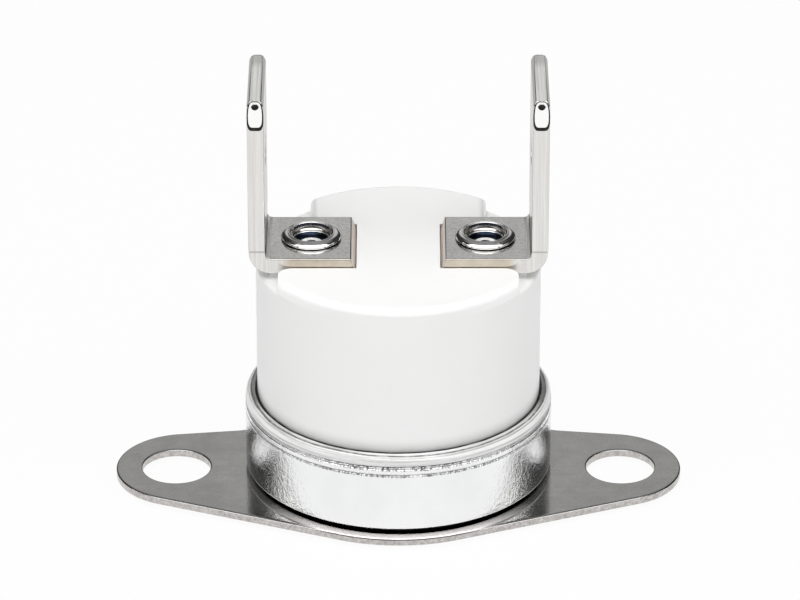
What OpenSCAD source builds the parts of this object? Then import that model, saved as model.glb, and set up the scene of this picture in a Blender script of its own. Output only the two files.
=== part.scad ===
// Snap-disc bimetal thermostat: ceramic body in a drawn aluminium cup,
// loose two-hole mounting flange and two upright blade terminals.
// Millimetres, +Z up, origin in the middle of the sensing face.

/* [Sensing cup] */
// Radius of the drawn cup wall
cup_r = 8.24; // [7.6:0.02:9]
// Sheet thickness of the cup
cup_t = 0.33; // [0.25:0.01:0.4]
// Overhang of the base lip that carries the flange, beyond the groove
lip_over = 0.37; // [0.28:0.01:0.5]
// Thickness of the base lip
lip_t = 0.3; // [0.2:0.05:0.5]
// Depth of the groove in which the flange turns
groove_d = 0.41; // [0.35:0.01:0.5]
// Thickness of the sensing face
floor_t = 0.4; // [0.3:0.02:0.5]
// Height of the clamping crease above the base shoulder
crimp_h = 3.62; // [3.2:0.02:4.5]
// Height of the rolled edge above the clamping crease
roll_h = 0.64; // [0.6:0.02:0.9]

/* [Mounting flange] */
// Distance between the two mounting holes
hole_pitch = 24; // [22.5:0.25:28]
// Diameter of the mounting holes
hole_d = 3.7; // [3:0.1:4.4]
// Sheet thickness of the flange
flange_t = 0.42; // [0.38:0.02:0.8]
// Width of the flange ring round the groove
flange_land = 0.59; // [0.4:0.01:1.4]
// Radius of the lug ends
lug_r = 3.75; // [3.3:0.05:4.2]
// Distance of each hole outside the centre of its lug
lug_shift = 0.5; // [0:0.05:0.7]
// Distance of the two holes in front of the cup axis
hole_offset = 0.6; // [0:0.05:0.8]
// Slope of the rear lug edges in degrees
ear_lean = 7.4; // [2:0.2:12]
// Rounding between a rear lug edge and the ring
ear_round = 2; // [1:0.1:3]
// Radial play of the flange in the groove
flange_play = 0.18; // [0.12:0.02:0.24]
// Vertical play of the flange in the groove
flange_lift = 0.38; // [0.1:0.02:0.44]

/* [Ceramic body] */
// Gap between the body and the inside of the cup wall
body_gap = 0.32; // [0.25:0.01:0.4]
// Height of the body above the clamping crease
body_h = 9; // [7.5:0.05:14]
// Rounding of the upper edge
edge_r = 0.42; // [0.3:0.02:0.44]
// Depth of the two terminal pockets
pocket_depth = 0.75; // [0.6:0.05:0.9]
// Height of the seat under each foot above the pocket floor
seat_h = 0.37; // [0.2:0.01:0.45]
// Gap between a foot and the front and rear walls of its pocket
foot_gap = 0.08; // [0.05:0.01:0.2]
// Distance of the ends of the front wall inside the body wall
front_inset = 1.26; // [1:0.02:1.8]
// Distance of the ends of the rear wall inside the body wall
rear_inset = 2.85; // [2.4:0.05:3.4]
// Gap between the inner end of a foot and the bridge between the pockets
bridge_gap = 0.07; // [0.05:0.01:0.3]
// Rounding of the pocket wall ends
pocket_end_r = 0.8; // [0.4:0.05:1]
// Rounding where the ends of a pocket wall meet the body wall
rim_round = 0.5; // [0.3:0.05:0.7]
// Wall thickness round the switch chamber
chamber_wall = 1.09; // [0.8:0.01:1.3]
// Thickness of the chamber roof
roof_t = 4.16; // [3.4:0.02:4.6]

/* [Terminals] */
// Thickness of the terminal strip
strip_t = 0.88; // [0.6:0.02:0.96]
// Width of the blade
blade_w = 6.3; // [5.6:0.1:6.5]
// Length of the blade above the foot
blade_l = 9.32; // [8:0.02:14]
// Distance of the inner blade face inside the body wall
blade_inset = 0.59; // [0.3:0.01:0.7]
// Width of the foot
foot_w = 5.1; // [4.4:0.1:5.4]
// Length of the foot beyond the rivet, towards the middle
foot_reach = 2.34; // [2.1:0.02:2.6]
// Slope of the sheared inner end of the foot
end_slope = 0.2; // [0:0.02:0.3]
// Height of the blade shoulders above the foot
shoulder_h = 0.7; // [0.6:0.05:1.2]
// Inner radius of the bend
bend_r = 0.3; // [0.2:0.05:0.5]
// Height of the corner chamfers at the blade tip
tip_h = 1.6; // [1:0.1:2]
// Width of the corner chamfers at the blade tip
tip_w = 0.22; // [0.1:0.02:1]
// Bevel of the broad faces at the tip
tip_bevel = 0.14; // [0.08:0.02:0.2]
// Diameter of the detent hole
detent_d = 1.65; // [1.4:0.05:2]

/* [Rivets] */
// Radius of the shank
shank_r = 1.2; // [1.14:0.02:1.24]
// Outer radius of the rolled collar
collar_r = 1.62; // [1.56:0.02:1.8]
// Height of the rolled collar above the foot
collar_h = 0.37; // [0.3:0.01:0.45]
// Radius of the opening in the collar
mouth_r = 1.05; // [1:0.01:1.08]
// Rounding of the edge of that opening
crown_r = 0.115; // [0.1:0.005:0.14]
// Radius of the head in the chamber
head_r = 1.5; // [1.4:0.02:1.56]
// Height of the head in the chamber
head_h = 0.5; // [0.4:0.05:0.6]
// Clearance round the shank
rivet_play = 0.05; // [0.03:0.01:0.1]
// Depth of the step in the hollow end below the foot
step_d = 0.12; // [0.08:0.01:0.2]
// Depth of the hollow end below its step
well_d = 0.26; // [0.1:0.01:0.4]
// Depth of the centre dimple
dimple_d = 0.2; // [0.1:0.02:0.3]

/* [Switch mechanism] */
// Lift of the push pin when the disc snaps
pin_travel = 0.4; // [0.3:0.05:0.45]
// Radius of the push pin
pin_r = 0.9; // [0.7:0.05:0.95]
// Crown radius of the pin ends
pin_end_r = 1.5; // [1.2:0.1:2]
// Clearance of the pin in its guide
pin_play = 0.1; // [0.05:0.01:0.15]
// Thickness of the bimetal disc
disc_t = 0.2; // [0.15:0.01:0.22]
// Rise of the disc below its snapping temperature
disc_rise = 0.15; // [0.1:0.01:0.2]
// Clearance round the bimetal disc
disc_play = 0.14; // [0.1:0.01:0.3]
// Thickness of the pin guide plate
guide_t = 0.8; // [0.6:0.05:0.9]
// Thickness of the guide rim round the disc
guide_rim = 0.5; // [0.4:0.02:0.7]
// Width of the contact arm
arm_w = 2.8; // [2.2:0.1:3.4]
// Thickness of the contact arm
arm_t = 0.15; // [0.1:0.01:0.2]
// Thickness of the two inner contact strips
inner_strip_t = 0.25; // [0.2:0.01:0.28]
// Radius of the contact studs
contact_r = 0.65; // [0.5:0.05:0.75]
// Height of each contact stud
contact_h = 0.5; // [0.4:0.05:0.6]
// Gap between the folded contact strip and the rivet head
head_gap = 0.075; // [0.05:0.005:0.2]

/* [Hidden] */
$fn = 96;
cut = 1;
neck_r = cup_r - groove_d;
lip_r = neck_r + lip_over;
cup_in_r = cup_r - cup_t;
neck_in_r = neck_r - cup_t;
lip_edge = lip_t * 0.45;
wall_edge = cup_t * 0.5;
shoulder_z = lip_t + flange_t + flange_lift;
crimp_z = shoulder_z + crimp_h;
rim_z = crimp_z + roll_h;
roll_r = roll_h * 0.39;
crease_depth = cup_t * 0.18;
crimp_depth = cup_t * 0.48;
crease_half = roll_h * 0.085;
flange_bore_r = neck_r + flange_play;
flange_r = flange_bore_r + flange_land;
web_tuck = 0.01;
body_r = cup_in_r - body_gap;
crimp_in_r = body_r + body_gap * 0.3;
foot_r = cup_in_r - body_gap * 0.2;
body_top = crimp_z + body_h;
pocket_z = body_top - pocket_depth;
pocket_front = foot_w / 2 + foot_gap;
front_half = body_r - front_inset;
rear_half = body_r - rear_inset;
chamber_r = body_r - chamber_wall;
rivet_x = chamber_r - head_r * 1.253;
foot_end = rivet_x - foot_reach;
bridge_half = foot_end - bridge_gap;
seat_z = pocket_z + seat_h;
foot_top = seat_z + strip_t;
seat_half = foot_w / 2 - seat_h;
bend_out = bend_r + strip_t;
blade_x = body_r - blade_inset;
blade_top = foot_top + blade_l;
guide_r = neck_in_r - disc_play;
seat_r = guide_r - guide_rim;
disc_r = seat_r - disc_play;
disc_top = floor_t + disc_t + disc_rise;
guide_low = disc_top + pin_travel * 1.9;
guide_top = guide_low + guide_t;
guide_hub_r = pin_r * 2.5;
guide_hub_h = guide_t * 1.5;
roof_z = pocket_z - roof_t;
pad_z = roof_z - 3 * pin_travel;
pad_r = shank_r * 1.38;
arm_top = pad_z - inner_strip_t;
arm_low = arm_top - arm_t;
arm_hinge = -rivet_x / 2;
arm_root = arm_hinge * 1.26;
leg_x = rivet_x - head_r - head_gap - inner_strip_t;
arm_end = leg_x - contact_r * 0.3;
contact_x = arm_end - contact_r * 1.06;
shelf_top = arm_low - 2 * contact_h;
shelf_half = contact_r * 1.12;
strip_end = chamber_r - body_gap * 1.2;

// Points of an arc from angle a0 to a1 in n steps
function arc(cx, cy, r, a0, a1, n) =
    [for (i = [0:n]) let (a = a0 + (a1 - a0) * i / n) [cx + r * cos(a), cy + r * sin(a)]];

// Sharp shallow crease pressed into the cup wall at height z
function crease(z, depth, half) =
    [[cup_r, z - half], [cup_r - depth, z - half * 0.2], [cup_r - depth, z + half * 0.2],
     [cup_r - depth * 0.2, z + half]];

// Outer side of the cup, from the middle of the sensing face to the rolled edge
function cup_outside() = concat(
    [[0, 0]],
    arc(lip_r - lip_edge, lip_edge, lip_edge, -90, 0, 4),
    [[lip_r, lip_t], [neck_r, lip_t], [neck_r, shoulder_z]],
    arc(cup_r - wall_edge, shoulder_z + wall_edge, wall_edge, -90, 0, 4),
    crease(crimp_z - 6.2 * crease_half, crease_depth, crease_half),
    [[cup_r - crease_depth / 2, crimp_z]],
    [[cup_r - crimp_depth, crimp_z + crease_half], [cup_r - crimp_depth, crimp_z + 2 * crease_half]],
    arc(cup_r - 1.06 * roll_r, rim_z - 1.06 * roll_r, roll_r, -50, 84, 10)
);

// Inner side of the cup, from the rolled edge back to the middle of the floor
function cup_inside() = concat(
    [[crimp_in_r + 0.36 * cup_t, rim_z - 0.12 * cup_t], [crimp_in_r + 0.3 * cup_t, rim_z - 0.5 * cup_t]],
    [[crimp_in_r, crimp_z + 0.9 * cup_t], [crimp_in_r, crimp_z]],
    [[cup_in_r, crimp_z], [cup_in_r, shoulder_z + cup_t]],
    [[neck_in_r, shoulder_z + cup_t], [neck_in_r, floor_t], [0, floor_t]]
);

// Drawn aluminium cup with base lip, flange groove and rolled edge
module sensing_cup() {
    color([0.86, 0.87, 0.88])
        rotate_extrude()
            polygon(concat(cup_outside(), cup_inside()));
}

// Tangent points of the front flange edge, on the left lug and on the ring
function front_edge() =
    let (lug_x = hole_pitch / 2 - lug_shift, reach = sqrt(pow(lug_x, 2) + pow(hole_offset, 2)))
    let (lean = asin((flange_r - lug_r) / reach) - atan2(hole_offset, lug_x))
    let (ring = flange_r - web_tuck, end = lug_r - web_tuck)
    [[-lug_x - end * sin(lean), -hole_offset - end * cos(lean)], [-ring * sin(lean), -ring * cos(lean)]];

// Centre of the rounding between the rear edge of the left lug and the ring
function ear_centre() =
    let (lug_x = hole_pitch / 2 - lug_shift)
    let (off = lug_r + lug_x * sin(ear_lean) - hole_offset * cos(ear_lean) + ear_round)
    let (along = sqrt(pow(flange_r + ear_round, 2) - pow(off, 2)))
    [-along * cos(ear_lean) - off * sin(ear_lean), off * cos(ear_lean) - along * sin(ear_lean)];

// Rear edge of the left lug up to the rounding, then the rounding centre and its point on the ring
function rear_edge() =
    let (lug_x = hole_pitch / 2 - lug_shift, centre = ear_centre(), end = lug_r - web_tuck)
    let (fall = ear_round + web_tuck, share = (flange_r - web_tuck) / (flange_r + ear_round))
    [[-lug_x - end * sin(ear_lean), end * cos(ear_lean) - hole_offset],
     [centre[0] + fall * sin(ear_lean), centre[1] - fall * cos(ear_lean)], centre, centre * share];

// Lug on the left side with its web to the ring
module flange_lug() {
    difference() {
        linear_extrude(flange_t)
            polygon(concat([[0, 0]], [front_edge()[1], front_edge()[0]], rear_edge()));
        translate([ear_centre()[0], ear_centre()[1], -cut])
            cylinder(h = flange_t + 2 * cut, r = ear_round);
    }
    translate([lug_shift - hole_pitch / 2, -hole_offset, 0])
        cylinder(h = flange_t, r = lug_r);
}

// Stamped steel flange, loose in the groove of the cup
module mounting_flange() {
    color([0.55, 0.54, 0.52])
        translate([0, 0, lip_t])
            difference() {
                union() {
                    cylinder(h = flange_t, r = flange_r);
                    flange_lug();
                    mirror([1, 0, 0])
                        flange_lug();
                }
                translate([0, 0, -cut])
                    cylinder(h = flange_t + 2 * cut, r = flange_bore_r);
                for (side = [-1, 1])
                    translate([side * hole_pitch / 2, -hole_offset, -cut])
                        cylinder(h = flange_t + 2 * cut, r = hole_d / 2);
            }
}

// Raised part of the body top behind a pocket wall, rounded at both ends
module raised_wall(half) {
    rim_x = half - rim_round;
    rim_y = sqrt(pow(body_r - rim_round, 2) - pow(rim_x, 2));
    reach = body_r / rim_x;
    difference() {
        translate([-half, pocket_front])
            square([2 * half, body_r]);
        for (side = [-1, 1]) {
            translate([side * half, pocket_front])
                square(2 * pocket_end_r, center = true);
            polygon([
                [side * rim_x, rim_y], [side * (half + cut), rim_y],
                [side * (half + cut), rim_y + body_r], [side * rim_x * reach, rim_y * reach]
            ]);
        }
    }
    for (side = [-1, 1]) {
        translate([side * (half - pocket_end_r), pocket_front + pocket_end_r])
            circle(pocket_end_r);
        translate([side * rim_x, rim_y])
            circle(rim_round);
    }
}

// Raised parts of the body top: front wall, rear wall and the bridge between the pockets
module body_top_shape() {
    mirror([0, 1])
        raised_wall(front_half);
    raised_wall(rear_half);
    translate([-bridge_half, -pocket_front - cut])
        square([2 * bridge_half, 2 * pocket_front + 2 * cut]);
}

// Turned outline of the body with its foot under the rolled edge
module body_outline() {
    rotate_extrude() {
        translate([0, guide_top])
            square([foot_r, crimp_z - guide_top]);
        translate([0, guide_top])
            square([body_r, body_top - edge_r - guide_top]);
        translate([0, guide_top])
            square([body_r - edge_r, body_top - guide_top]);
        translate([body_r - edge_r, body_top - edge_r])
            circle(edge_r);
    }
}

// Glazed ceramic body with two terminal pockets and the switch chamber below
module ceramic_body() {
    color([0.95, 0.95, 0.94])
        difference() {
            intersection() {
                body_outline();
                union() {
                    translate([0, 0, guide_top])
                        cylinder(h = pocket_z - guide_top, r = cup_r);
                    translate([0, 0, pocket_z])
                        linear_extrude(pocket_depth)
                            body_top_shape();
                    for (side = [-1, 1])
                        translate([side * rivet_x - seat_half, -seat_half, pocket_z - cut])
                            cube([2 * seat_half, 2 * seat_half, seat_h + cut]);
                }
            }
            difference() {
                translate([0, 0, guide_top - cut])
                    cylinder(h = roof_z - guide_top + cut, r = chamber_r);
                for (side = [-1, 1])
                    translate([side * rivet_x, 0, pad_z])
                        cylinder(h = roof_z - pad_z + cut, r = pad_r);
            }
            for (side = [-1, 1])
                translate([side * rivet_x, 0, pad_z - cut])
                    cylinder(h = seat_z - pad_z + 2 * cut, r = shank_r + rivet_play);
        }
}

// Half section of the shallow bimetal dome
function dome(lift) =
    [for (i = [0:10]) let (r = disc_r * i / 10) [r, floor_t + lift + disc_rise * (1 - pow(r / disc_r, 2))]];

// Bimetal disc on the cup floor
module snap_disc() {
    low = dome(0);
    high = dome(disc_t);
    color([0.62, 0.58, 0.5])
        rotate_extrude()
            polygon(concat(low, [for (i = [10:-1:0]) high[i]]));
}

// Moulded plate that keeps the disc in place and guides the pin
module pin_guide() {
    color([0.35, 0.22, 0.14])
        difference() {
            union() {
                translate([0, 0, floor_t])
                    cylinder(h = guide_top - floor_t, r = guide_r);
                translate([0, 0, guide_low])
                    cylinder(h = guide_t + guide_hub_h, r = guide_hub_r);
            }
            translate([0, 0, floor_t - cut])
                cylinder(h = guide_low - floor_t + cut, r = seat_r);
            translate([0, 0, floor_t])
                cylinder(h = guide_top + guide_hub_h, r = pin_r + pin_play);
        }
}

// Ceramic pin with crowned ends between the disc and the contact arm
module push_pin() {
    color([0.92, 0.9, 0.86])
        rotate_extrude() {
            translate([0, disc_top + pin_end_r / 2])
                square([pin_r, arm_low - disc_top - pin_end_r]);
            translate([0, arm_low - pin_end_r])
                intersection() {
                    circle(pin_end_r);
                    square([pin_r, pin_end_r]);
                }
            translate([0, disc_top + pin_end_r])
                mirror([0, 1])
                    intersection() {
                        circle(pin_end_r);
                        square([pin_r, pin_end_r]);
                    }
        }
}

// Brass strip under the left rivet that carries the contact arm
module arm_support() {
    color([0.78, 0.62, 0.3])
        difference() {
            translate([-strip_end, -arm_w / 2, arm_top])
                cube([strip_end + arm_hinge, arm_w, inner_strip_t]);
            translate([-rivet_x, 0, arm_top - cut])
                cylinder(h = inner_strip_t + 2 * cut, r = shank_r + rivet_play);
        }
}

// Thin bronze leaf welded below the end of its support
module contact_arm() {
    color([0.8, 0.55, 0.32])
        translate([arm_root, -arm_w / 2, arm_low])
            cube([arm_end - arm_root, arm_w, arm_t]);
}

// Contact stud under the free end of the arm
module moving_contact() {
    color([0.85, 0.85, 0.86])
        translate([contact_x, 0, arm_low - contact_h])
            cylinder(h = contact_h, r = contact_r);
}

// Folded brass strip under the right rivet, with a shelf below the moving contact
module fixed_contact_strip() {
    color([0.78, 0.62, 0.3])
        difference() {
            translate([0, arm_w / 2, 0])
                rotate([90, 0, 0])
                    linear_extrude(arm_w) {
                        translate([leg_x, arm_top])
                            square([strip_end - leg_x, inner_strip_t]);
                        translate([leg_x, shelf_top - inner_strip_t])
                            square([inner_strip_t, pad_z - shelf_top + inner_strip_t]);
                        translate([contact_x - shelf_half, shelf_top - inner_strip_t])
                            square([leg_x - contact_x + shelf_half, inner_strip_t]);
                    }
            translate([rivet_x, 0, arm_top - cut])
                cylinder(h = inner_strip_t + 2 * cut, r = shank_r + rivet_play);
        }
}

// Contact stud on the shelf of the folded strip
module fixed_contact() {
    color([0.85, 0.85, 0.86])
        translate([contact_x, 0, shelf_top])
            cylinder(h = contact_h, r = contact_r);
}

// Front view of the blade: narrow root, shoulders and chamfered tip
module blade_face() {
    half = blade_w / 2;
    root = foot_w / 2;
    shoulder = foot_top + shoulder_h;
    polygon([
        [-root, foot_top + bend_r], [root, foot_top + bend_r], [root, shoulder], [half, shoulder],
        [half, blade_top - tip_h], [half - tip_w, blade_top], [tip_w - half, blade_top],
        [-half, blade_top - tip_h], [-half, shoulder], [-root, shoulder]
    ]);
}

// Section of the blade across its thickness, thinner at the tip
module blade_section() {
    polygon([
        [blade_x, foot_top], [blade_x + strip_t, foot_top],
        [blade_x + strip_t, blade_top - 2 * tip_bevel], [blade_x + strip_t - tip_bevel, blade_top],
        [blade_x + tip_bevel, blade_top], [blade_x, blade_top - 2 * tip_bevel]
    ]);
}

// Quarter ring where the foot turns up into the blade
module terminal_bend() {
    translate([blade_x - bend_r, 0, foot_top + bend_r])
        rotate([90, 0, 0])
            difference() {
                cylinder(h = foot_w, r = bend_out, center = true);
                cylinder(h = foot_w + cut, r = bend_r, center = true);
                translate([-2 * bend_out, -2 * bend_out, -foot_w])
                    cube([2 * bend_out, 4 * bend_out, 2 * foot_w]);
                translate([-bend_out, 0, -foot_w])
                    cube([3 * bend_out, 2 * bend_out, 2 * foot_w]);
            }
}

// Plated blade terminal with a riveted foot, on the +X side
module terminal() {
    color([0.8, 0.79, 0.76])
        difference() {
            union() {
                translate([0, foot_w / 2, 0])
                    rotate([90, 0, 0])
                        linear_extrude(foot_w)
                            polygon([
                                [foot_end, seat_z], [blade_x - bend_r, seat_z],
                                [blade_x - bend_r, foot_top], [foot_end + end_slope, foot_top]
                            ]);
                terminal_bend();
                intersection() {
                    rotate([90, 0, 90])
                        linear_extrude(blade_x + 2 * strip_t)
                            blade_face();
                    translate([0, blade_w / 2, 0])
                        rotate([90, 0, 0])
                            linear_extrude(blade_w)
                                blade_section();
                }
            }
            translate([rivet_x, 0, seat_z - cut])
                cylinder(h = strip_t + 2 * cut, r = shank_r + rivet_play);
            translate([blade_x - cut, 0, blade_top - 0.45 * blade_l])
                rotate([0, 90, 0])
                    cylinder(h = strip_t + 2 * cut, r = detent_d / 2);
        }
}

// Left blade terminal
module left_terminal() {
    mirror([1, 0, 0])
        terminal();
}

// Right blade terminal
module right_terminal() {
    terminal();
}

// Section of the flared collar round the mouth of a rivet, from the foot upwards
module collar_section() {
    middle = mouth_r + crown_r;
    translate([middle, collar_h - crown_r])
        circle(crown_r);
    polygon([
        [middle, 0], [collar_r, 0], [collar_r, collar_h / 4],
        [middle + crown_r * 0.4, collar_h - crown_r * 0.5], [middle, collar_h - crown_r]
    ]);
}

// Semi-tubular rivet: solid head in the chamber, hollow end flared and rolled over the foot
module rivet() {
    throat_r = mouth_r * 0.92;
    well_r = mouth_r * 0.87;
    bottom_r = mouth_r * 0.54;
    dimple_r = mouth_r * 0.2;
    step_z = foot_top - step_d;
    well_z = step_z - well_d;
    dimple_z = well_z - dimple_d;
    crown_z = foot_top + collar_h - crown_r;
    lap = crown_r / 6;
    color([0.82, 0.81, 0.79])
        difference() {
            union() {
                translate([0, 0, arm_top - head_h])
                    cylinder(h = head_h, r = head_r);
                translate([0, 0, arm_top - head_h])
                    cylinder(h = crown_z - lap - arm_top + head_h, r = shank_r);
                rotate_extrude()
                    translate([0, foot_top])
                        collar_section();
            }
            translate([0, 0, step_z])
                cylinder(h = crown_z - step_z, r1 = throat_r, r2 = mouth_r);
            translate([0, 0, well_z])
                cylinder(h = step_z - well_z + lap, r1 = bottom_r, r2 = well_r);
            translate([0, 0, dimple_z])
                cylinder(h = well_z - dimple_z + lap, r1 = dimple_r / 5, r2 = dimple_r);
        }
}

// Left rivet
module left_rivet() {
    translate([-rivet_x, 0, 0])
        rivet();
}

// Right rivet
module right_rivet() {
    translate([rivet_x, 0, 0])
        rivet();
}

sensing_cup();
mounting_flange();
ceramic_body();
snap_disc();
pin_guide();
push_pin();
arm_support();
contact_arm();
moving_contact();
fixed_contact_strip();
fixed_contact();
left_terminal();
right_terminal();
left_rivet();
right_rivet();
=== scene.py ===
import math

import bmesh
import bpy
from mathutils import Matrix, Vector, noise
from mathutils.geometry import tessellate_polygon


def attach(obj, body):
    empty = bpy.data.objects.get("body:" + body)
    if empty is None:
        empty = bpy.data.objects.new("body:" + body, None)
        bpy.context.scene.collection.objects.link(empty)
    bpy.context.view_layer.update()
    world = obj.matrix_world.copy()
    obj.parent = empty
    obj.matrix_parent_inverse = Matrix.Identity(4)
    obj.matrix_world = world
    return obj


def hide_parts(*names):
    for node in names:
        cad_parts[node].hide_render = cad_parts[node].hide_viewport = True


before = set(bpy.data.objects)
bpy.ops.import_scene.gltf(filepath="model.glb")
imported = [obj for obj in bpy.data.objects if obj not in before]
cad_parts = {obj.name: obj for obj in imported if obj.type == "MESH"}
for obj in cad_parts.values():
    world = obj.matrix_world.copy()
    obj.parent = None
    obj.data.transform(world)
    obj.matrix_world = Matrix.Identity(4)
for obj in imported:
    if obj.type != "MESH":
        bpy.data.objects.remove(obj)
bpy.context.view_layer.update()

# Sensing cup: a shallow can drawn from bright aluminium sheet. A groove above its base lip holds
# the flange. The upper edge is pressed into ragged crease lines and rolled in over the shoulder
# of the ceramic body, which leaves a satin band round the mouth. Shade is painted into the groove,
# the creases, the rolled edge and the top of the mouth, and the band is painted paler at its sides.
MM = 0.001
cup_wall_r = 8.24
cup_lip_r = 8.2
cup_neck_r = 7.83
cup_inner_r = 7.91
cup_clamp_r = 7.69
cup_mouth_r = 7.7
cup_seat_r = 7.5
cup_sheet = 0.33
cup_floor = 0.4
cup_lip = 0.3
cup_shoulder = 1.1
cup_crimp = 4.72
cup_rim = 5.36
cup_turns = 288
lip_round = 0.135
corner_round = 0.05
edge_round = 0.035
edge_inset = 0.045
mouth_drop = 0.2
clamp_rise = 0.3
wall_rows = (1.4, 1.9, 2.4, 2.9, 3.4, 3.8, 4.1)
# Height, set-back and depth of each crease line.
cup_creases = ((4.3, 0.0, 0.035), (4.64, 0.012, 0.05), (4.78, 0.02, 0.07))
crease_half = 0.06
waver_start = cup_crimp - 0.5
waver_fade = 0.3
coarse_waves = 3.1
coarse_lift = 0.022
fine_waves = 9.0
fine_lift = 0.01
fine_out = 0.014
# Set-back and height of points between the crease lines, and along the rolled edge.
wall_lean = ((0.004, 4.42), (0.01, 4.52))
rolled_edge = ((0.03, 4.92), (0.04, 5.0), (0.065, 5.07), (0.105, 5.13), (0.16, 5.19),
               (0.225, 5.242), (0.295, 5.285), (0.365, 5.317), (0.43, 5.338))


def arc(cx, cz, r, start, end, steps):
    """Points of a round corner in the section of a turned piece."""
    angles = [math.radians(start + (end - start) * i / steps) for i in range(steps + 1)]
    return [(cx + r * math.cos(a), cz + r * math.sin(a)) for a in angles]


def groove(r, z, depth, half, steps=10):
    """Points of a soft pressed line round a wall of radius r."""
    rows = [i / steps * 2 - 1 for i in range(steps + 1)]
    return [(r - depth * math.cos(t * math.pi / 2) ** 2, z + t * half) for t in rows]


def to_piece(name, bm):
    """Makes an object of a finished mesh, smooth shaded, and links it into the scene."""
    mesh = bpy.data.meshes.new(name)
    bm.to_mesh(mesh)
    bm.free()
    mesh.shade_smooth()
    piece = bpy.data.objects.new(name, mesh)
    bpy.context.scene.collection.objects.link(piece)
    return piece


def turned(name, section, turns, waver=None, paint=None):
    """Turns a section, points of (radius, height) in millimetres; paint lists a material for each strip."""
    bm = bmesh.new()
    rings = []
    for r, z in section:
        if r < 1e-6:
            rings.append([bm.verts.new((0, 0, z * MM))])
            continue
        ring = []
        for i in range(turns):
            a = 2 * math.pi * i / turns
            out, lift = waver(a, z) if waver else (0, 0)
            x, y = (r + out) * math.cos(a), (r + out) * math.sin(a)
            ring.append(bm.verts.new((x * MM, y * MM, (z + lift) * MM)))
        rings.append(ring)
    for k, (low, high) in enumerate(zip(rings, rings[1:])):
        for i in range(turns):
            j = (i + 1) % turns
            corners = [low[i % len(low)], low[j % len(low)], high[j % len(high)], high[i % len(high)]]
            corners = list(dict.fromkeys(corners))
            if len(corners) > 2:
                face = bm.faces.new(corners)
                face.material_index = paint[k] if paint else 0
    bmesh.ops.recalc_face_normals(bm, faces=bm.faces[:])
    piece = to_piece(name, bm)
    piece.data.set_sharp_from_angle(angle=math.radians(40))
    return piece


class Value:
    """A socket in the node tree of a finish; an expression on it adds Math nodes."""

    def __init__(self, owner, socket):
        self.owner = owner
        self.socket = socket

    def maths(self, operation, a, b):
        return self.owner.node("ShaderNodeMath", {"operation": operation}, {0: a, 1: b})

    def __add__(self, other):
        return self.maths("ADD", self, other)

    def __radd__(self, other):
        return self.maths("ADD", other, self)

    def __sub__(self, other):
        return self.maths("SUBTRACT", self, other)

    def __rsub__(self, other):
        return self.maths("SUBTRACT", other, self)

    def __mul__(self, other):
        return self.maths("MULTIPLY", self, other)

    def __rmul__(self, other):
        return self.maths("MULTIPLY", other, self)

    def __pow__(self, other):
        return self.maths("POWER", self, other)

    def __rpow__(self, other):
        return self.maths("POWER", other, self)


class Finish:
    """The node tree of a material or world: constants on its surface, node() for what varies over it."""

    def __init__(self, owner, constants):
        owner.use_nodes = True
        self.owner = owner
        self.tree = owner.node_tree
        self.surface = self.tree.nodes.get("Principled BSDF") or self.tree.nodes["Background"]
        for socket, value in constants.items():
            self.surface.inputs[socket].default_value = value

    def node(self, kind, settings, inputs, out=0):
        """Adds a node, with its settings first and its inputs next, and gives back one of its outputs."""
        made = self.tree.nodes.new(kind)
        for key, value in settings.items():
            setattr(made, key, value)
        for key, value in inputs.items():
            self.feed(made.inputs[key], value)
        return Value(self, made.outputs[out])

    def feed(self, socket, value):
        """Links a value to a socket, or sets a constant on it."""
        if isinstance(value, Value):
            self.tree.links.new(value.socket, socket)
        else:
            socket.default_value = value

    def paint(self, socket, value):
        self.feed(self.surface.inputs[socket], value)

    def axis(self, vector, which):
        return self.node("ShaderNodeSeparateXYZ", {}, {0: vector}, which)

    def place(self):
        return self.node("ShaderNodeTexCoord", {}, {}, "Object")

    def along(self, which):
        """Where the surface lies along X, Y or Z, in millimetres."""
        return self.axis(self.place(), which) * (1 / MM)

    def facing(self, which):
        """How far the surface faces along X, Y or Z, from -1 to 1."""
        return self.axis(self.node("ShaderNodeNewGeometry", {}, {}, "Normal"), which)

    def noise(self, x, y, z, detail=4.0, roughness=0.55):
        """Cloudy noise with about this many spots a metre along each axis."""
        stretched = self.node("ShaderNodeMapping", {}, {"Vector": self.place(), "Scale": (x, y, z)})
        return self.node("ShaderNodeTexNoise", {},
                         {"Vector": stretched, "Scale": 1.0, "Detail": detail, "Roughness": roughness})

    def level(self, value, low, high, to_low=0.0, to_high=1.0):
        """Goes from to_low to to_high as the value goes from low to high, and stays there beyond."""
        ends = {"From Min": low, "From Max": high, "To Min": to_low, "To Max": to_high}
        return self.node("ShaderNodeMapRange", {"clamp": True}, {"Value": value, **ends})

    def below(self, value, low, high):
        """One below low, nothing above high."""
        return self.level(value, low, high, 1.0, 0.0)

    def near(self, value, place, half):
        """One at the given value, falling to nothing at half on either side of it."""
        return 1 - self.level((value - place) * (value - place), 0.0, half * half)

    def mix(self, factor, a, b):
        """Goes from colour a to colour b as the factor goes from 0 to 1."""
        return self.node("ShaderNodeMix", {"data_type": "RGBA"}, {0: factor, 6: a, 7: b}, 2)

    def bump(self, height, distance):
        """Makes the surface uneven; the distance in metres is how far a height of 1 stands out."""
        self.paint("Normal", self.node("ShaderNodeBump", {}, {"Height": height, "Distance": distance}))


def finish(name, constants):
    """A new material, with what is the same all over its surface."""
    return Finish(bpy.data.materials.new(name), constants)


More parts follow.
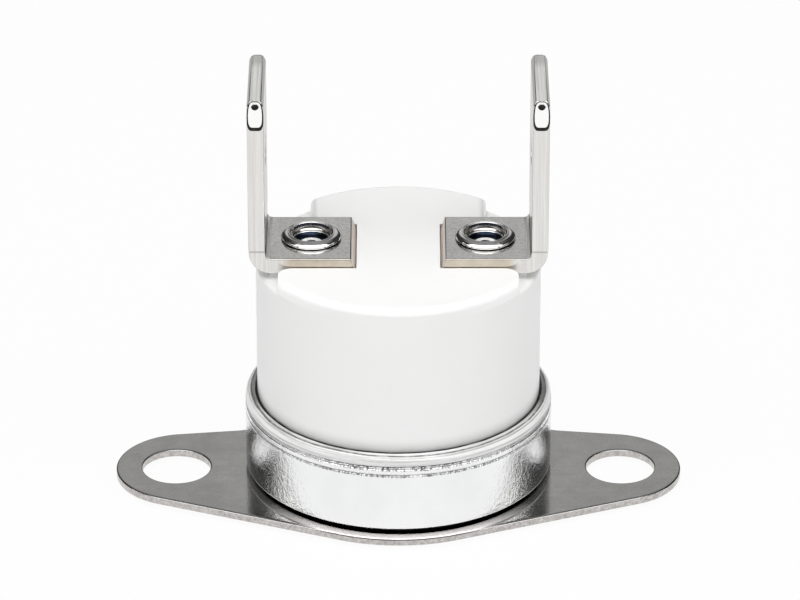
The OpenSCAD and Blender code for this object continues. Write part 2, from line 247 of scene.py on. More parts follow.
def cup_waver(a, z):
    """Uneven pressing of the crease lines and of the rolled edge."""
    if z < waver_start:
        return 0, 0
    share = min(1, (z - waver_start) / waver_fade)
    coarse = Vector((math.cos(a) * coarse_waves, math.sin(a) * coarse_waves, 0.4))
    fine = Vector((math.cos(a) * fine_waves, math.sin(a) * fine_waves, 2.1))
    lift = share * (coarse_lift * noise.noise(coarse) + fine_lift * noise.noise(fine))
    out = share * fine_out * noise.noise(fine + Vector((0, 0, 3)))
    return out, lift


creases = [groove(cup_wall_r - back, z, depth, crease_half) for z, back, depth in cup_creases]
cup_section = (
    [(0, 0), (3, 0), (6, 0)]
    + arc(cup_lip_r - lip_round, lip_round, lip_round, -90, 0, 8)
    + arc(cup_lip_r - corner_round, cup_lip - corner_round, corner_round, 0, 90, 4)
    + [(cup_neck_r, cup_lip), (cup_neck_r, cup_shoulder)]
    + arc(cup_wall_r - corner_round, cup_shoulder + corner_round, corner_round, -90, 0, 8)
    + [(cup_wall_r, z) for z in wall_rows]
    + creases[0]
    + [(cup_wall_r - back, z) for back, z in wall_lean]
    + creases[1]
    + creases[2]
    + [(cup_wall_r - back, z) for back, z in rolled_edge]
    + arc(cup_mouth_r + edge_inset, cup_rim - edge_round, edge_round, 70, 180, 6)
    + [(cup_mouth_r, cup_rim - mouth_drop), (cup_clamp_r, cup_crimp + clamp_rise)]
    + [(cup_clamp_r, cup_crimp), (cup_inner_r, cup_crimp), (cup_inner_r, cup_shoulder + cup_sheet)]
    + [(cup_seat_r, cup_shoulder + cup_sheet), (cup_seat_r, cup_floor), (0, cup_floor)]
)
cup = turned("cup_shell", cup_section, cup_turns, cup_waver)

drawn = finish("drawn_aluminium", {"Metallic": 1.0})
cup_y, cup_z = drawn.along(1), drawn.along(2)
hammered = drawn.noise(5200, 5200, 3600, 4.0, 0.65)
cloud = drawn.noise(420, 420, 300, 3.0)
lathe_lines = drawn.noise(200, 200, 9500, 3.0)
scuffs = drawn.noise(1500, 1500, 480, 6.0, 0.7)
patches = drawn.noise(2600, 2600, 900, 3.0)
stitch = drawn.noise(9500, 9500, 3600, 2.0, 0.6)

depth_squared = cup_y * cup_y
# Painted shade: dark broken lines along the creases, strongest at the front and fading to the sides.
ragged = cup_z + (stitch - 0.5) * 0.24
lower_crease_shade = drawn.level(drawn.near(ragged, cup_creases[0][0], 0.11), 0.0, 0.7)
lower_crease_shade = lower_crease_shade * drawn.level(patches, 0.3, 0.5, 0.5, 1.0)
lower_crease_shade = lower_crease_shade * drawn.level(depth_squared, 20, 56, 0.35, 0.85)
upper_crease_shade = sum(drawn.level(drawn.near(ragged, crease[0], 0.07), 0.0, 0.6) for crease in cup_creases[1:])
upper_crease_shade = upper_crease_shade * drawn.level(patches, 0.36, 0.52, 0.2, 1.0)
upper_crease_shade = upper_crease_shade * drawn.level(depth_squared, 46, 62, 0.4, 1.0)
crease_shade = (lower_crease_shade + upper_crease_shade) * drawn.level(stitch, 0.4, 0.56, 0.3, 1.0)
# Painted shade: two dark lines round the rolled edge.
rolled_shade = drawn.near(cup_z, 5.3, 0.028) + drawn.near(cup_z, 5.22, 0.025) * 0.4
rolled_shade = rolled_shade * drawn.level(patches, 0.3, 0.6, 0.5, 1.0)
# Painted shade: the top of the rolled edge is painted dark, except at the front.
mouth_top_shade = drawn.level(cup_y, -3.6, -1.6) * drawn.level(cup_z, 5.26, 5.31)
band = drawn.level(cup_z, 4.6, 4.9)
# Painted shade: the groove under the shoulder is painted near black.
groove_shade = drawn.level(cup_z, 0.32, 0.36) * drawn.below(cup_z, 1.06, 1.1)
lower_edge = drawn.near(cup_z, 1.14, 0.05)

wall_colour = drawn.mix(drawn.level(cloud, 0.35, 0.65), (0.86, 0.863, 0.866, 1), (0.9, 0.902, 0.905, 1))
# Painted light and shade: the band is painted paler at the sides and darker at the front.
painted_band_light = drawn.mix(drawn.level(depth_squared, 10, 50), (0.95, 0.95, 0.945, 1), (0.75, 0.752, 0.75, 1))
cup_colour = drawn.mix(band, wall_colour, painted_band_light)
turned_lines = band * drawn.level(lathe_lines, 0.46, 0.62, 0.0, 0.6)
cup_colour = drawn.mix(turned_lines, cup_colour, (0.38, 0.38, 0.37, 1))
cup_colour = drawn.mix(rolled_shade, cup_colour, (0.1, 0.1, 0.095, 1))
cup_colour = drawn.mix(crease_shade, cup_colour, (0.06, 0.06, 0.055, 1))
cup_colour = drawn.mix(mouth_top_shade * 0.8, cup_colour, (0.1, 0.1, 0.095, 1))
drawn.paint("Base Color", drawn.mix(groove_shade, cup_colour, (0.006, 0.006, 0.006, 1)))
drawn.paint("Metallic", 1 - band * 0.8 - lower_edge * 0.7)
scuffed = drawn.level(scuffs, 0.6, 0.76, 0.0, 0.05)
drawn.paint("Roughness", drawn.level(cloud, 0.3, 0.7, 0.1, 0.14) + scuffed + band * 0.34)
drawn.bump(hammered * 1.3 + scuffs * 0.8 + lathe_lines * band * 0.6, 0.000024)
cup.data.materials.append(drawn.owner)
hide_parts("sensing_cup")
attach(cup, "switch_body")

# Mounting flange: a flat plate stamped from grey steel strip, with two round screw holes. It lies
# loose in the groove of the cup and turns round it. Its upper edge is rolled over by the punch and
# the sheared edge is paler and rougher. The narrow ring in front of the cup is painted pale as a
# reflection, with dark lines of painted shade along its edges.
flange_low = 0.3
flange_high = 0.72
flange_break = 0.04
roll_in = 0.2
roll_down = 0.06
ring_r = 8.595
bore_r = 8.01
lug_r = 3.748
lug_x = 11.5
hole_x = 12
hole_r = 1.85
hole_y = -0.6
ear_lean = 7.4
ear_round = 2.0


def flat_arc(cx, cy, r, start, end, step=2.5):
    """Points of an arc in the plane of a sheet, about one every step degrees."""
    return arc(cx, cy, r, start, end, max(2, round(abs(end - start) / step)))


def flat_faced(piece):
    """Keeps the large faces of a piece flat beside its rounded edges."""
    piece.modifiers.new("flat faces", "WEIGHTED_NORMAL").keep_sharp = True
    return piece


def plate(name, outline, openings):
    """The sheet of the flange; its outline runs anticlockwise and its openings clockwise."""
    bm = bmesh.new()
    lower_quarter, upper_quarter = arc(0, 0, 1, -90, 0, 4), arc(0, 0, 1, 0, 90, 14)
    edge = [(flange_break * c - flange_break, flange_low + flange_break + flange_break * s)
            for c, s in lower_quarter]
    edge += [(roll_in * c - roll_in, flange_high - roll_down + roll_down * s) for c, s in upper_quarter]
    rims = []
    for loop in [outline] + openings:
        count = len(loop)
        rows = []
        for inset, z in edge:
            row = []
            for i, (x, y) in enumerate(loop):
                (ax, ay), (bx, by) = loop[i - 1], loop[(i + 1) % count]
                length = math.hypot(bx - ax, by - ay)
                inner_x, inner_y = x + inset * (by - ay) / length, y - inset * (bx - ax) / length
                row.append(bm.verts.new((inner_x * MM, inner_y * MM, z * MM)))
            rows.append(row)
        for lower, upper in zip(rows, rows[1:]):
            for i in range(count):
                j = (i + 1) % count
                bm.faces.new((lower[i], lower[j], upper[j], upper[i]))
        rims.append((rows[0], rows[-1]))
    for loops in zip(*rims):
        flat = [v for loop in loops for v in loop]
        for triangle in tessellate_polygon([[v.co for v in loop] for loop in loops]):
            bm.faces.new([flat[i] for i in triangle])
    bmesh.ops.recalc_face_normals(bm, faces=bm.faces[:])
    return flat_faced(to_piece(name, bm))


front_lean = (math.degrees(math.asin((ring_r - lug_r) / math.hypot(lug_x, hole_y)))
              + math.degrees(math.atan2(hole_y, lug_x)))
lean_sin, lean_cos = math.sin(math.radians(ear_lean)), math.cos(math.radians(ear_lean))
ear_off = lug_r + lug_x * lean_sin + hole_y * lean_cos + ear_round
ear_along = math.sqrt((ring_r + ear_round) ** 2 - ear_off ** 2)
ear_x = ear_along * lean_cos + ear_off * lean_sin
ear_y = ear_off * lean_cos - ear_along * lean_sin
ear_turn = math.degrees(math.atan2(ear_y, ear_x))
right_half = (
    flat_arc(0, 0, ring_r, -90, front_lean - 90)
    + flat_arc(lug_x, hole_y, lug_r, front_lean - 90, 90 - ear_lean)
    + flat_arc(ear_x, ear_y, ear_round, 270 - ear_lean, 180 + ear_turn, 4)
    + flat_arc(0, 0, ring_r, ear_turn, 90)[1:]
)
left_half = [(-x, y) for x, y in reversed(right_half[1:-1])]
bore = flat_arc(0, 0, bore_r, 360, 0)[:-1]
screw_holes = [flat_arc(x, hole_y, hole_r, 360, 0, 4)[:-1] for x in (-hole_x, hole_x)]
flange = plate("flange_plate", right_half + left_half, [bore] + screw_holes)

steel = finish("stamped_steel", {"Metallic": 1.0})
rolled = steel.noise(160, 5200, 5200)
mottle = steel.noise(900, 900, 900, 5.0)
grain = steel.noise(7000, 7000, 7000, 3.0, 0.65)
sheared = steel.noise(5200, 5200, 5200, 4.0, 0.65)
steel_x, steel_y, steel_z = [steel.along(which) for which in (0, 1, 2)]
steel_up = steel.facing(2)

cut_side = 1 - steel.level(steel_up * steel_up, 0.1, 0.5)
from_axis = (steel_x * steel_x + steel_y * steel_y) ** 0.5
front_ring = steel.below(from_axis, 8.58, 8.7) * steel.below(steel_y, -7.2, -4.6)
# Painted reflection: the ring in front of the cup is painted pale and less metallic.
front_ring_light = front_ring * (1 - cut_side)
# Painted shade: dark lines along the edges of that ring.
ring_edge_shade = front_ring * steel.level(steel.near(steel_z, 0.64, 0.04), 0.0, 0.5)

face_pattern = steel.level(mottle + rolled * 0.5, 0.5, 1.0)
face_colour = steel.mix(face_pattern, (0.4, 0.395, 0.383, 1), (0.5, 0.495, 0.483, 1))
face_colour = steel.mix(steel.level(grain, 0.45, 0.7, 0.0, 0.45), face_colour, (0.3, 0.295, 0.285, 1))
shear_pattern = steel.level(sheared, 0.35, 0.65)
shear_colour = steel.mix(shear_pattern, (0.4, 0.38, 0.365, 1), (0.62, 0.6, 0.58, 1))
ring_light_colour = steel.mix(shear_pattern, (0.8, 0.765, 0.745, 1), (0.93, 0.9, 0.88, 1))
steel_colour = steel.mix(front_ring_light, steel.mix(cut_side, face_colour, shear_colour), ring_light_colour)
steel.paint("Base Color", steel.mix(ring_edge_shade, steel_colour, (0.1, 0.09, 0.085, 1)))
steel.paint("Metallic", steel.level(from_axis, 8.8, 10.6, 0.9, 1.0) - front_ring_light * 0.6)
steel.paint("Roughness", steel.level(rolled, 0.3, 0.7, 0.09, 0.14) + cut_side * 0.1 + front_ring_light * 0.1)
steel.bump(rolled * 0.3 + grain * 0.3 + sheared * cut_side, 0.000005)
flange.data.materials.append(steel.owner)
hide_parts("mounting_flange")
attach(flange, "flange")

# Switch mechanism, closed in by the cup and the body: a domed bimetal disc, a moulded resin guide,
# an unglazed ceramic pin, and riveted brass strips with their bronze leaf and silver contacts.
wear_shade = 0.82
wear_rough = 0.14
# Nodes, colour, metal, roughness and spots a metre of each finish.
inner_finishes = {
    "rolled_bimetal": (["snap_disc"], (0.6, 0.57, 0.5, 1), 1.0, 0.3, (200, 4000, 4000)),
    "moulded_resin": (["pin_guide"], (0.16, 0.09, 0.055, 1), 0.0, 0.5, (1500, 1500, 1500)),
    "unglazed_pin": (["push_pin"], (0.88, 0.86, 0.81, 1), 0.0, 0.6, (2500, 2500, 2500)),
    "rolled_brass": (["arm_support", "contact_arm", "fixed_contact_strip"],
                     (0.76, 0.58, 0.28, 1), 1.0, 0.28, (150, 4000, 4000)),
    "contact_silver": (["moving_contact", "fixed_contact"],
                       (0.88, 0.87, 0.85, 1), 1.0, 0.2, (2000, 2000, 2000)),
}
for name, (nodes, light, metal, smooth, spots) in inner_finishes.items():
    inner = finish(name, {"Metallic": metal})
    wear = inner.noise(*spots)
    dark = tuple(c * wear_shade for c in light[:3]) + (1,)
    inner.paint("Base Color", inner.mix(inner.level(wear, 0.3, 0.7), dark, light))
    inner.paint("Roughness", inner.level(wear, 0.3, 0.7, smooth, smooth + wear_rough))
    inner.bump(wear, 0.000006)
    for node in nodes:
        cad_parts[node].data.materials.clear()
        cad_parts[node].data.materials.append(inner.owner)

# Ceramic body: a pressed and fired cylinder with a white glaze, soft at every edge. Its top has a
# shallow pocket on each side for the terminal feet, with a bridge between them and a raised wall
# behind. The cup clamps its foot. Painted shade greys the glaze above the rim and darkens the joint
# with it, and painted light makes the sideways faces in the top paler.
glaze_round = 0.13
pocket_round = 0.4
pocket_steps = 8
pocket_floor = 12.97
body_rim_r = 7.55
body_top = 13.72
rear_half = 4.74
rear_round = 0.48
rear_drop = 0.6
rear_y = 2
bridge_half = 2.21
bridge_y = 2.9
sharp_angle = math.radians(24)
flat_angle = math.radians(0.4)
weld = 2e-6


def on_pocket_rim(edge):
    """The outer edge of a pocket floor, where it meets the body wall."""
    return all(abs(v.co.z / MM - pocket_floor) < 0.01 and v.co.xy.length / MM > body_rim_r
               for v in edge.verts)


def on_bridge(edge):
    """An upper edge of the bridge between the pockets, close to the end of a foot."""
    return all(abs(abs(v.co.x) / MM - bridge_half) < 0.02 and abs(v.co.y) / MM < bridge_y
               for v in edge.verts)


def on_rear_wall(face):
    """A face that reaches the upper part of the raised rear wall."""
    return any(v.co.z > (body_top - rear_drop) * MM and v.co.y > rear_y * MM for v in face.verts)


def round_rear_ends(bm):
    """Rounds the upper ends of the raised rear wall down to its end faces."""
    for sign in (-1, 1):
        for turn in range(0, 90, 10):
            x = rear_half - rear_round + rear_round * math.sin(math.radians(turn))
            faces = [f for f in bm.faces if on_rear_wall(f)]
            parts = {e for f in faces for e in f.edges} | {v for f in faces for v in f.verts}
            bmesh.ops.bisect_plane(bm, geom=faces + list(parts), plane_co=(sign * x * MM, 0, 0),
                                   plane_no=(1, 0, 0))
    for v in bm.verts:
        over = abs(v.co.x) / MM - rear_half + rear_round
        if v.co.y > rear_y * MM and 0 < over < rear_round + 0.01:
            cap = body_top - rear_round + math.sqrt(max(0, rear_round ** 2 - over ** 2))
            v.co.z = min(v.co.z, cap * MM)


def round_edges(bm, edges, radius, steps):
    """Rounds the given edges to a radius in millimetres."""
    bmesh.ops.bevel(bm, geom=edges, offset=radius * MM, segments=steps, profile=0.5, affect="EDGES",
                    clamp_overlap=True)


def from_solid(name, node, radius, steps=3, shape=None, soft=None, keep=None, adorn=None):
    """A copy of a CAD solid with its sharp edges rounded to the given radius in millimetres."""
    bm = bmesh.new()
    bm.from_mesh(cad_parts[node].data)
    bmesh.ops.remove_doubles(bm, verts=bm.verts[:], dist=weld)
    bmesh.ops.dissolve_limit(bm, angle_limit=flat_angle, verts=bm.verts[:], edges=bm.edges[:])
    if shape:
        shape(bm)
    if soft:
        chosen, soft_radius, soft_steps = soft
        round_edges(bm, [e for e in bm.edges if chosen(e)], soft_radius, soft_steps)
    sharp = [e for e in bm.edges if len(e.link_faces) == 2 and e.calc_face_angle() > sharp_angle]
    round_edges(bm, [e for e in sharp if not (keep and keep(e))], radius, steps)
    bmesh.ops.recalc_face_normals(bm, faces=bm.faces[:])
    if adorn:
        adorn(bm)
    return flat_faced(to_piece(name, bm))


body = from_solid("ceramic_shell", "ceramic_body", glaze_round, steps=4, shape=round_rear_ends,
                  soft=(on_pocket_rim, pocket_round, pocket_steps), keep=on_bridge)

glaze = finish("white_glaze", {"Metallic": 0.0, "IOR": 1.5, "Coat Weight": 0.25, "Coat Roughness": 0.18})
pool = glaze.noise(260, 260, 260, 3.0)
fleck = glaze.noise(5200, 5200, 5200, 2.0)
peel = glaze.noise(900, 900, 900, 2.0)
rim_mottle = glaze.noise(1300, 1300, 2200)
glaze_z = glaze.along(2)
glaze_side = glaze.facing(0)

# Painted shade: grey darkening up from the cup rim, broken up by noise.
rim_shade = glaze.below(glaze_z, 5.28, 6.22) ** 2.2 * glaze.level(rim_mottle, 0.2, 0.8, 0.56, 0.76)
# Painted shade: a broken near-black line where the glaze meets the rim.
joint_shade = glaze.level(glaze_z, 5.34, 5.39, 0.9, 0.0) * glaze.level(rim_mottle, 0.35, 0.5, 0.6, 1.0)
# Painted light: faces turned sideways in the top of the body are painted paler.
side_face_light = glaze.level(glaze_side * glaze_side, 0.2, 0.7) * glaze.level(glaze_z, 12.96, 13.02)
glaze_colour = glaze.mix(glaze.level(pool, 0.3, 0.7), (0.882, 0.882, 0.876, 1), (0.892, 0.892, 0.888, 1))
glaze_colour = glaze.mix(glaze.level(fleck, 0.74, 0.82, 0.0, 0.15), glaze_colour, (0.7, 0.69, 0.66, 1))
glaze_colour = glaze.mix(rim_shade, glaze_colour, (0.07, 0.066, 0.055, 1))
glaze_colour = glaze.mix(side_face_light, glaze_colour, (0.985, 0.985, 0.98, 1))
glaze.paint("Base Color", glaze.mix(joint_shade, glaze_colour, (0.02, 0.02, 0.018, 1)))
glaze.paint("Roughness", glaze.level(pool, 0.3, 0.7, 0.31, 0.37))
glaze.bump(peel, 0.0000012)
body.data.materials.append(glaze.owner)
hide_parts("ceramic_body")
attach(body, "switch_body")

# Terminals: strips stamped from nickel-plated brass, each riveted flat in its pocket and bent up
# into a blade with shoulders. The stamped edges are paler, and warmer at the foot. Both corners of
# the tip are coined into polished facets, each with a small pit; the outline and the pit are painted
# near black as shade. Painted shade also lines the foot edges, the shoulders and the tip bevels, and
# painted light brightens the inner bend and the top of the tip.
blade_break = 0.09
blade_mid = 7.44
foot_end = 2.28
end_press = 0.055
facet_low = Vector((0, -3.15, 21.94))
facet_high = Vector((0, -2.93, 23.54))
facet_turns = 72
facet_square = 0.36
facet_half = 0.44
facet_waist = 0.1
facet_taper = 0.03
facet_trim = 0.01
facet_root = -0.05
facet_rise = 0.01
outline_rows = 4
outline_swell = 0.008
outline_side = 0.17
outline_end = 0.14
outline_shift = 0.075
pillow_rows = 18
pillow_swell = 0.02
pit_across = 0.2
pit_along = 0.15
pit_place = 0.5
pit_z = 23.24
pit_depth = 0.02


def squared(wave):
    """Pulls a sine or cosine towards its ends, which makes a circle squarer."""
    return math.copysign(abs(wave) ** facet_square, wave)


def coin_facet(bm, x, face_y):
    """Adds the coined facet at one corner of a blade tip: a low pillow in a pressed outline painted near
    black as shade.
    """
    slope = facet_high - facet_low
    half = slope.length / 2 - facet_trim
    up = slope.normalized()
    out = Vector((0, -up.z, up.y))
    middle = (facet_low + facet_high) / 2
    rows = [(0.0, 1.0, facet_root), (0.0, 1.0, facet_rise)]
    for q in range(1, outline_rows + 1):
        share = q / outline_rows
        rows.append((share, 1.0, facet_rise + outline_swell * math.sin(math.pi * share)))
    for k in range(1, pillow_rows):
        scale = 1 - k / pillow_rows
        rows.append((1.0, scale, facet_rise + pillow_swell * (1 - scale ** 2)))
    rings = []
    for share, scale, rise in rows:
        ring = []
        for i in range(facet_turns):
            a = 2 * math.pi * i / facet_turns
            v = half * squared(math.sin(a))
            u = (facet_half - facet_waist * (v / half) ** 2 - facet_taper * v / half) * squared(math.cos(a))
            u *= (1 - outline_side * share) * scale
            v = v * (1 - outline_end * share) * scale + outline_shift * share
            pit = max(0, 1 - (u / pit_across) ** 2 - ((v - pit_place) / pit_along) ** 2)
            point = middle + up * v + out * (rise - pit_depth * pit)
            ring.append(bm.verts.new(((x + u) * MM, point.y * face_y * MM, point.z * MM)))
        rings.append(ring)
    made = [bm.faces.new(list(reversed(rings[0])))]
    for k, (low, high) in enumerate(zip(rings, rings[1:])):
        for i in range(facet_turns):
            j = (i + 1) % facet_turns
            face = bm.faces.new((low[i], low[j], high[j], high[i]))
            centre = face.calc_center_median()
            across, along = centre.x / MM - x, centre.z / MM - pit_z
            in_pit = (across / pit_across) ** 2 + (along / pit_along) ** 2 < 1
            # Outline rows and the pit take the near-black outline material, which is painted shade.
            face.material_index = 2 if k <= outline_rows or in_pit else 1
            made.append(face)
    made.append(bm.faces.new(rings[-1]))
    made[-1].material_index = 1
    if face_y > 0:
        bmesh.ops.reverse_faces(bm, faces=made)


def finish_strip(bm, x):
    """Presses the end of the foot towards the bridge and coins both corners of the blade tip."""
    for v in bm.verts:
        if abs(v.co.x) < (foot_end + blade_break + 0.01) * MM:
            v.co.x -= math.copysign(end_press * MM, v.co.x)
    coin_facet(bm, x, 1)
    coin_facet(bm, x, -1)


plated = finish("nickel_plate", {"Metallic": 1.0, "Specular Tint": (0.68, 0.67, 0.66, 1)})
drag = plated.noise(5200, 420, 420)
tarnish = plated.noise(600, 600, 600)
pores = plated.noise(6000, 6000, 6000, 3.0, 0.65)
edge_lines = plated.noise(7600, 400, 160)
tip_lines = plated.noise(9000, 120, 120, 2.0)
strip_x, strip_y, strip_z = [plated.along(which) for which in (0, 1, 2)]
sideways, forward, upward = [plated.facing(which) for which in (0, 1, 2)]

from_middle = (strip_x * strip_x) ** 0.5
end_on = sideways * sideways
cut_edge = plated.level(forward * forward, 0.2, 0.7)
# Painted shade: the sideways bevels of the tip are painted mid grey.
tip_bevel_shade = plated.level(strip_z, 23.1, 23.3) * plated.level(end_on, 0.4, 0.6)
tip = plated.level(strip_z, 23.1, 23.4) * plated.level(upward, 0.75, 0.95)
foot_edge = plated.below(strip_z, 14.15, 14.3) * plated.below(from_middle, 5.8, 6.2)
sheared_end = plated.level(end_on, 0.4, 0.7) * plated.below(from_middle, 2.52, 2.58)
# Painted shade: a dark line along the sloping edges of the foot top.
foot_line_shade = plated.level(upward, 0.6, 0.75) * plated.below(upward, 0.95, 0.99)
foot_line_shade = foot_line_shade * plated.below(strip_z, 14.3, 14.5)
# Painted light: the inside of the bend is painted a paler, matte grey.
bend_light = plated.level(upward, 0.35, 0.6) * plated.below(upward, 0.96, 0.985)
bend_light = bend_light * plated.level(end_on, 0.03, 0.06)
bend_light = bend_light * plated.below(strip_z, 14.9, 15.1) * plated.level(from_middle, 5.8, 6.2)
# Painted shadow: a dark band on the stamped edges just under the shoulder.
shoulder_shadow = plated.near(strip_z, 14.61, 0.06) * cut_edge

plate_pattern = plated.level(tarnish + drag * 0.5, 0.5, 1.0)
plate_colour = plated.mix(plate_pattern, (0.69, 0.685, 0.665, 1), (0.81, 0.805, 0.785, 1))
plate_colour = plated.mix(plated.level(pores, 0.45, 0.7, 0.0, 0.4), plate_colour, (0.42, 0.415, 0.4, 1))
# Painted light: the top of the tip is painted paler, and painted shade darkens it towards the back.
tip_lines_and_painted_light = plated.mix(plated.level(tip_lines, 0.42, 0.6), (0.9, 0.895, 0.88, 1), (0.72, 0.715, 0.7, 1))
tip_lines_and_painted_light = plated.mix(plated.level(strip_y, 1.2, 2.1, 0.0, 0.55), tip_lines_and_painted_light, (0.4, 0.4, 0.39, 1))
plate_colour = plated.mix(tip, plate_colour, tip_lines_and_painted_light)
edge_colour = plated.mix(plated.level(edge_lines, 0.35, 0.65), (0.7, 0.69, 0.665, 1), (0.8, 0.79, 0.765, 1))
warm_colour = plated.mix(plated.level(tarnish, 0.35, 0.65), (0.5, 0.44, 0.36, 1), (0.66, 0.6, 0.51, 1))
edge_colour = plated.mix(foot_edge, edge_colour, warm_colour)
edge_colour = plated.mix(shoulder_shadow * 0.4, edge_colour, (0.12, 0.115, 0.11, 1))
strip_colour = plated.mix(cut_edge, plate_colour, edge_colour)
strip_colour = plated.mix(tip_bevel_shade, strip_colour, (0.47, 0.465, 0.455, 1))
strip_colour = plated.mix(foot_line_shade * 0.85 * (1 - bend_light), strip_colour, (0.1, 0.095, 0.09, 1))
strip_colour = plated.mix(bend_light, strip_colour, (0.52, 0.515, 0.5, 1))
plated.paint("Base Color", plated.mix(sheared_end, strip_colour, (0.74, 0.66, 0.6, 1)))
plated.paint("Metallic", 1 - sheared_end * 0.85 - tip * 0.4 - bend_light * 0.85)
rougher = cut_edge * 0.06 + tip * 0.22 + sheared_end * 0.3
plated.paint("Roughness", plated.level(drag, 0.3, 0.7, 0.14, 0.2) + rougher)
plated.bump(drag * 0.5 + pores * 0.3 + edge_lines * cut_edge, 0.000006)

coined = finish("coined_facet", {"Metallic": 1.0})
polish = coined.noise(2400, 2400, 900, 3.0)
coined_colour = coined.mix(coined.level(polish, 0.3, 0.7), (0.95, 0.948, 0.94, 1), (0.985, 0.983, 0.978, 1))
coined.paint("Base Color", coined_colour)
coined.paint("Roughness", coined.level(polish, 0.3, 0.7, 0.06, 0.12))
coined.bump(polish, 0.000002)

# Painted shade: the pressed outline and the pit of each facet are painted near black.
outline_shade = finish("coined_outline_shade", {"Metallic": 1.0})
outline_mottle = outline_shade.noise(5000, 5000, 5000, 3.0)
blotches = outline_shade.level(outline_mottle, 0.3, 0.7)
outline_shade.paint("Base Color", outline_shade.mix(blotches, (0.015, 0.015, 0.014, 1), (0.06, 0.058, 0.055, 1)))
outline_shade.paint("Roughness", outline_shade.level(outline_mottle, 0.3, 0.7, 0.3, 0.45))

for hand, sign in (("left", -1), ("right", 1)):
    blade = from_solid(hand + "_blade", hand + "_terminal", blade_break,
                       adorn=lambda bm: finish_strip(bm, sign * blade_mid))
    for metal in (plated, coined, outline_shade):
        blade.data.materials.append(metal.owner)
    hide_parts(hand + "_terminal")
    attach(blade, "switch_body")

# Rivets: semi-tubular, nickel plated. The hollow end is rolled out into a bright collar on the
# foot. Inside it, painted shade darkens the mouth wall and turns the throat near black with a blue
# tint, and painted light makes the bottom with its centre dimple pale.
rivet_x = 4.62
rivet_foot = 14.22
rivet_head = 6.86
rivet_head_r = 1.5
rivet_head_t = 0.5
rivet_shank_r = 1.2
rivet_mouth = 1.14
rivet_crown = 0.05
rivet_top = 0.36
rivet_turns = 128
head_low = rivet_head - rivet_foot
head_high = head_low + rivet_head_t
throat_lip = arc(0.94, -0.115, 0.015, 90, 180, 3)
outside, throat, mouth = 0, 1, 2
# Points by radius and height over the foot, each after the finish of the strip that leads to it.
rivet_strips = (
    (outside, [(0, head_low), (rivet_head_r, head_low), (rivet_head_r, head_high)]),
    (outside, [(rivet_shank_r, head_high), (rivet_shank_r, 0.0), (1.22, 0.02), (1.46, 0.025), (1.52, 0.045)]),
    (outside, arc(1.54, 0.105, 0.06, -70, 40, 8)),
    (outside, arc(1.245, -0.1, 0.435, 41, 80, 14)),
    (outside, arc(rivet_mouth + rivet_crown, rivet_top - rivet_crown, rivet_crown, 55, 180, 10)),
    (mouth, [(1.13, 0.2), (1.108, 0.075), (1.085, 0.01)]),
    (outside, [(1.01, -0.036), (0.985, -0.05)] + arc(0.96, -0.075, 0.025, 0, -90, 4) + throat_lip[:2]),
    (throat, throat_lip[2:] + [(0.915, -0.13), (0.86, -0.18), (0.77, -0.24), (0.67, -0.28), (0.6, -0.296)]),
    (outside, [(0.57, -0.3), (0.5, -0.3), (0.32, -0.3)]),
    (throat, [(0.28, -0.32), (0.06, -0.5), (0, -0.51)]),
)
rivet_section = [(r, z + rivet_foot) for metal, points in rivet_strips for r, z in points]
rivet_paint = [metal for metal, points in rivet_strips for point in points][1:]

bright = finish("bright_nickel", {"Metallic": 1.0})
swirl = bright.noise(1800, 1800, 1800)
# Painted light: below the throat, the well bottom is painted pale white and mostly matte.
well_floor_light = bright.below(bright.along(2), 13.94, 13.96)
bright_colour = bright.mix(bright.level(swirl, 0.3, 0.7), (0.8, 0.79, 0.775, 1), (0.88, 0.875, 0.865, 1))
bright.paint("Base Color", bright.mix(well_floor_light, bright_colour, (0.95, 0.95, 0.945, 1)))
bright.paint("Metallic", 1 - well_floor_light * 0.7)
bright.paint("Roughness", bright.level(swirl, 0.3, 0.7, 0.05, 0.1))
bright.bump(swirl, 0.000003)

# Painted shade: the throat is painted near black with a blue tint, for its shade and dark reflections.
throat_shade = finish("painted_throat_shade", {"Metallic": 1.0})
throat_mottle = throat_shade.noise(2200, 2200, 2200)
throat_shade_colour = throat_shade.mix(throat_shade.level(throat_mottle, 0.3, 0.7), (0.006, 0.009, 0.018, 1), (0.03, 0.042, 0.066, 1))
throat_shade.paint("Base Color", throat_shade_colour)
throat_shade.paint("Roughness", throat_shade.level(throat_mottle, 0.3, 0.7, 0.18, 0.3))
throat_shade.bump(throat_mottle, 0.00001)

# Painted shade: the wall inside the mouth is painted a darker nickel.
shaded = finish("shaded_wall", {"Metallic": 1.0})
wall_mottle = shaded.noise(2000, 2000, 2000)
wall_shade_colour = shaded.mix(shaded.level(wall_mottle, 0.3, 0.7), (0.24, 0.23, 0.215, 1), (0.36, 0.35, 0.335, 1))
shaded.paint("Base Color", wall_shade_colour)
shaded.paint("Roughness", shaded.level(wall_mottle, 0.3, 0.7, 0.08, 0.14))

for hand, sign in (("left", -1), ("right", 1)):
    rivet = turned(hand + "_rolled_rivet", rivet_section, rivet_turns, paint=rivet_paint)
    rivet.data.transform(Matrix.Translation((sign * rivet_x * MM, 0, 0)))
    for metal in (bright, throat_shade, shaded):
        rivet.data.materials.append(metal.owner)
    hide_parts(hand + "_rivet")
    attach(rivet, "switch_body")

# Studio: a white floor in a dark room, with a grey card behind the part and a pale patch overhead.
# Soft lights hang above and in front, and a low strip stands at each side. The camera is where the
# photo was taken from, looking down on the cup.
floor_half = 3.0
floor_drop = 0.02
floor_glow = 0.95
card_tilt = math.radians(27)
card_way = (0, math.cos(card_tilt), math.sin(card_tilt))
overhead_way = (0, 0.26, 0.966)

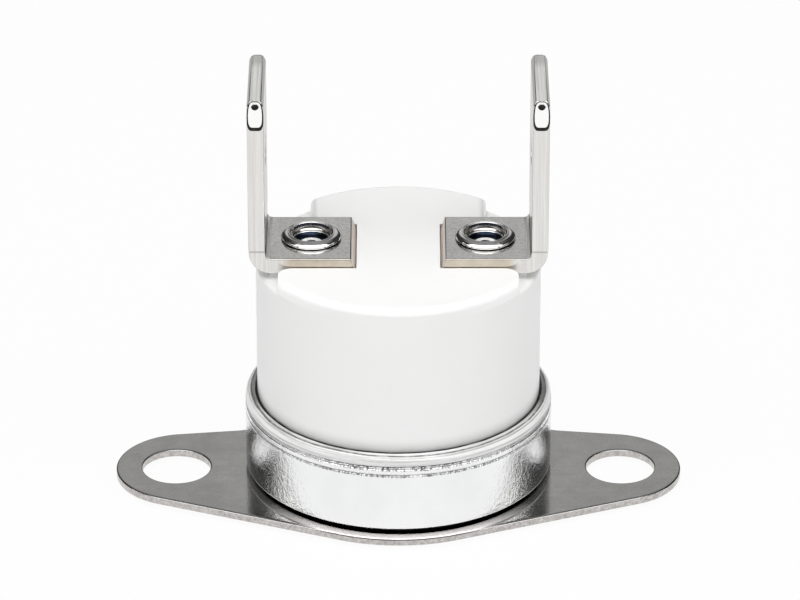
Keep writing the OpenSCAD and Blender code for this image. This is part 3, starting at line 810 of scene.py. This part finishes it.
sweep_bm = bmesh.new()
bmesh.ops.create_grid(sweep_bm, x_segments=8, y_segments=8, size=floor_half)
sweep = to_piece("floor", sweep_bm)
sweep.location.z = -floor_drop * MM
paper = finish("white_paper", {"Base Color": (0.7, 0.7, 0.7, 1), "Roughness": 0.9})
camera_ray = paper.node("ShaderNodeLightPath", {}, {}, "Is Camera Ray")
glossy_ray = paper.node("ShaderNodeLightPath", {}, {}, "Is Glossy Ray")
lit = Value(paper, paper.surface.outputs[0])
glow = paper.node("ShaderNodeEmission", {}, {"Strength": 1.0})
blend = paper.node("ShaderNodeMixShader", {}, {0: (camera_ray + glossy_ray) * floor_glow, 1: lit, 2: glow})
paper.feed(paper.tree.nodes["Material Output"].inputs["Surface"], blend)
sweep.data.materials.append(paper.owner)

bpy.context.scene.world = bpy.data.worlds.new("studio")
room = Finish(bpy.context.scene.world, {"Strength": 1.0})


def towards(way):
    """How nearly the room is seen in the given direction: one straight along it."""
    seen_way = room.node("ShaderNodeTexCoord", {}, {}, "Generated")
    return room.node("ShaderNodeVectorMath", {"operation": "DOT_PRODUCT"}, {0: seen_way, 1: way}, "Value")


card = room.level(towards(card_way), 0.92, 0.975)
patch = room.level(towards(overhead_way), 0.8, 0.95)
walls = room.mix(patch, (0.035, 0.035, 0.035, 1), (0.3, 0.3, 0.3, 1))
room.paint("Color", room.mix(card, walls, (0.58, 0.58, 0.58, 1)))


def softbox(name, place, aim, width, height, power):
    """A soft rectangular light, sized in metres, that faces the point it is aimed at."""
    lamp = bpy.data.lights.new(name, "AREA")
    lamp.shape = "RECTANGLE"
    lamp.size = width
    lamp.size_y = height
    lamp.energy = power
    holder = bpy.data.objects.new(name, lamp)
    holder.location = place
    holder.rotation_euler = (Vector(aim) - Vector(place)).to_track_quat("-Z", "Y").to_euler()
    bpy.context.scene.collection.objects.link(holder)


softbox("upper", (0, -0.2, 0.57), (0, 0, 0.01), width=1.0, height=0.4, power=4.15)
softbox("front", (0, -0.5, 0.37), (0, 0, 0.01), width=1.3, height=0.3, power=1.65)
for hand, sign in (("left", -1), ("right", 1)):
    softbox(hand, (sign * 0.45, -0.11, 0.235), (0, -0.11, 0.01), width=0.37, height=0.07, power=0.33)

photo_width = 800
focal_px = 5431.0
pitch = math.radians(27.0)
reach = 0.290
target = Vector((0.000086, 0, 0.0105))
lens = bpy.data.cameras.new("photo_camera")
lens.sensor_width = 36
lens.lens = focal_px * lens.sensor_width / photo_width
lens.clip_start = 0.01
lens.clip_end = 20
camera = bpy.data.objects.new("photo_camera", lens)
camera.location = target + Vector((0, -math.cos(pitch), math.sin(pitch))) * reach
camera.rotation_euler = (math.pi / 2 - pitch, 0, 0)
bpy.context.scene.collection.objects.link(camera)
bpy.context.scene.camera = camera
bpy.context.scene.view_settings.view_transform = "Standard"
